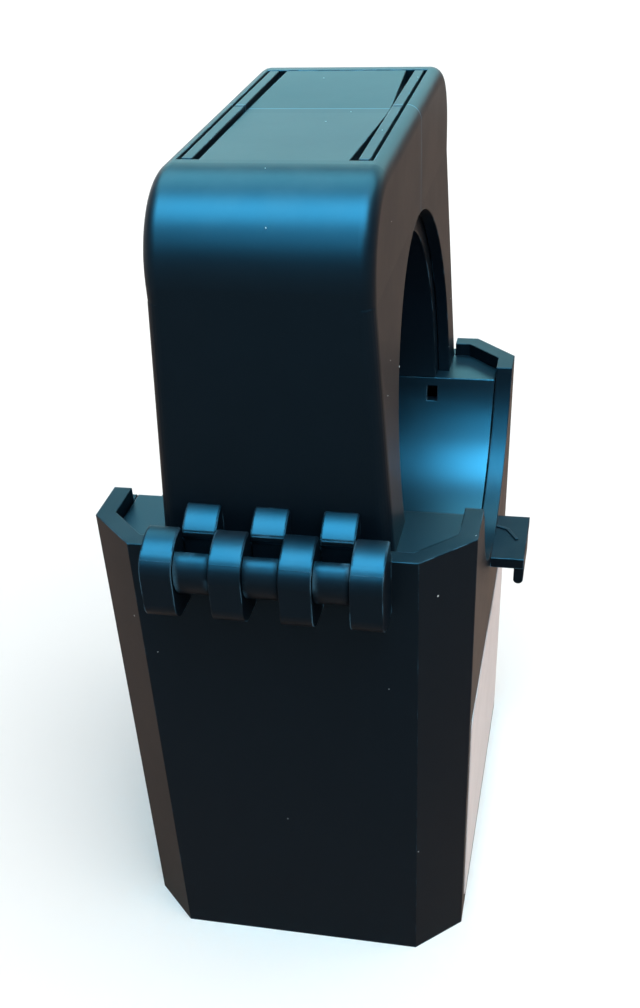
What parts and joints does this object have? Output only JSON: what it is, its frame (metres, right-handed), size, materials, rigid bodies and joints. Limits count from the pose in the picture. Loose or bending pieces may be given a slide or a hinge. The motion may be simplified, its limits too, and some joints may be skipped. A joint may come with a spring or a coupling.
{
  "type": "split-core current transformer",
  "caption": "Hinged split-core current transformer: a narrow arch closes on a tall case round a conductor window, with screw terminals behind.",
  "frame": {"origin": "centre of the round conductor window, on its axis, half way along the arch and the case", "axes": "+X along the conductor, +Z from the base to the top of the arch, hinge towards -Y"},
  "size_m": [0.049, 0.0619, 0.092],
  "materials": {
    "case_plastic": "fine spark-eroded black moulding",
    "bobbin_plastic": "natural nylon",
    "tape": "polyester tape",
    "lead_insulation": "smooth insulation",
    "steel": "ground",
    "plated_steel": "zinc plated",
    "core_steel": "cut strip, ground pole faces",
    "copper": "enamelled wire",
    "brass": "turned"
  },
  "bodies": {
    "case": {"lower_case": "case_plastic", "saddle_cover": "case_plastic", "hinge_pin": "steel", "lower_core": "core_steel", "coil_bobbin": "bobbin_plastic", "secondary_winding": "copper", "winding_tape": "tape", "start_lead": "lead_insulation", "finish_lead": "lead_insulation", "terminal_insert_1": "brass", "terminal_insert_2": "brass", "terminal_washer_1": "plated_steel", "terminal_washer_2": "plated_steel", "terminal_screw_1": "plated_steel", "terminal_screw_2": "plated_steel"},
    "arch": {"arch_cover": "case_plastic", "arch_liner": "case_plastic", "upper_core": "core_steel"}
  },
  "joints": [
    {"name": "arch_hinge", "type": "hinge", "parent": "case", "child": "arch", "pos_m": [0, -0.0321, -0.0045], "axis": [1, 0, 0], "range_deg": [0, 110]}
  ]
}
